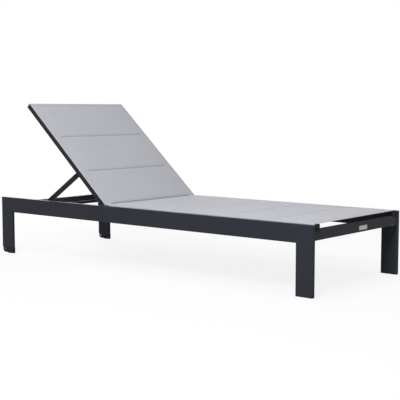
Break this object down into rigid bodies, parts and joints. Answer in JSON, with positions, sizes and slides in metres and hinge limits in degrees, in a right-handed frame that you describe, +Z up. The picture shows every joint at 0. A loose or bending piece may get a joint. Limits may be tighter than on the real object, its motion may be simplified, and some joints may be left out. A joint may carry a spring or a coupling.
{
  "type": "reclining sun lounger",
  "caption": "Low flat-legged garden lounger with a padded mesh sling, a tilting backrest on a notched stay and small head-end wheels.",
  "frame": {"origin": "on the ground under the middle of the frame", "axes": "+X towards the foot end, +Y towards the sitter's left, +Z up"},
  "size_m": [2, 0.746, 0.8041],
  "materials": {
    "frame_paint": "fine-textured matt anthracite powder coat",
    "sling_fabric": "padded woven mesh, light grey melange",
    "keder_plastic": "extruded",
    "black_plastic": "moulded, fine grain",
    "black_nylon": "smooth",
    "fastener_steel": "stainless",
    "tread_rubber": "matt",
    "bumper_rubber": "matt",
    "tag_metal": "brushed, blank"
  },
  "bodies": {
    "frame": {"side_rail_left": "frame_paint", "side_rail_right": "frame_paint", "foot_leg_left": "frame_paint", "foot_leg_right": "frame_paint", "head_leg_left": "frame_paint", "head_leg_right": "frame_paint", "foot_cross_rail": "frame_paint", "head_cross_rail": "frame_paint", "hinge_cross_rail": "frame_paint", "seat_cross_bar": "frame_paint", "sling_rail_left": "frame_paint", "sling_rail_right": "frame_paint", "sling_rail_cap_left": "black_plastic", "sling_rail_cap_right": "black_plastic", "hinge_plate_left": "frame_paint", "hinge_plate_right": "frame_paint", "hinge_bolts": "fastener_steel", "hinge_nuts": "fastener_steel", "hinge_washers": "black_nylon", "rack_plate_left": "black_plastic", "rack_plate_right": "black_plastic", "rack_screws": "fastener_steel", "sling_rail_screws": "fastener_steel", "foot_glide_left": "black_plastic", "foot_glide_right": "black_plastic", "wheel_block_left": "black_plastic", "wheel_block_right": "black_plastic", "wheel_axles": "fastener_steel", "rest_bumpers": "bumper_rubber", "seat_keder_rods": "keder_plastic", "seat_sling": "sling_fabric", "tag_plate": "tag_metal", "tag_rivets": "tag_metal"},
    "backrest": {"backrest_bar_left": "frame_paint", "backrest_bar_right": "frame_paint", "backrest_cap_left": "black_plastic", "backrest_cap_right": "black_plastic", "hinge_knuckle_left": "frame_paint", "hinge_knuckle_right": "frame_paint", "hinge_bushes": "black_nylon", "backrest_low_bar": "frame_paint", "backrest_top_bar": "frame_paint", "backrest_keder_rods": "keder_plastic", "backrest_sling": "sling_fabric", "stay_washers": "black_nylon", "stay_pivot_bolts": "fastener_steel", "stay_pivot_inserts": "fastener_steel"},
    "stay": {"stay_arm_left": "frame_paint", "stay_arm_right": "frame_paint", "stay_bushes": "black_nylon", "stay_cross_tube": "frame_paint", "stay_sleeves": "black_nylon"},
    "wheel_left": {"wheel_hub_left": "black_plastic", "wheel_tread_left": "tread_rubber"},
    "wheel_right": {"wheel_hub_right": "black_plastic", "wheel_tread_right": "tread_rubber"}
  },
  "joints": [
    {"name": "backrest_tilt", "type": "hinge", "parent": "frame", "child": "backrest", "pos_m": [-0.238, 0, 0.294], "axis": [0, 1, 0], "range_deg": [-41.9, 18.1]},
    {"name": "stay_swing", "type": "hinge", "parent": "backrest", "child": "stay", "pos_m": [-0.42906, 0, 0.4614], "axis": [0, 1, 0], "range_deg": [-31.12, 71.64]},
    {"name": "wheel_left_spin", "type": "hinge", "parent": "frame", "child": "wheel_left", "pos_m": [-0.978, 0.364, 0.0198], "axis": [0, 1, 0], "continuous": true},
    {"name": "wheel_right_spin", "type": "hinge", "parent": "frame", "child": "wheel_right", "pos_m": [-0.978, -0.364, 0.0198], "axis": [0, 1, 0], "continuous": true}
  ],
  "couplings": [
    {"joint": "stay_swing", "follows": "backrest_tilt", "ratio": -1.7026}
  ]
}
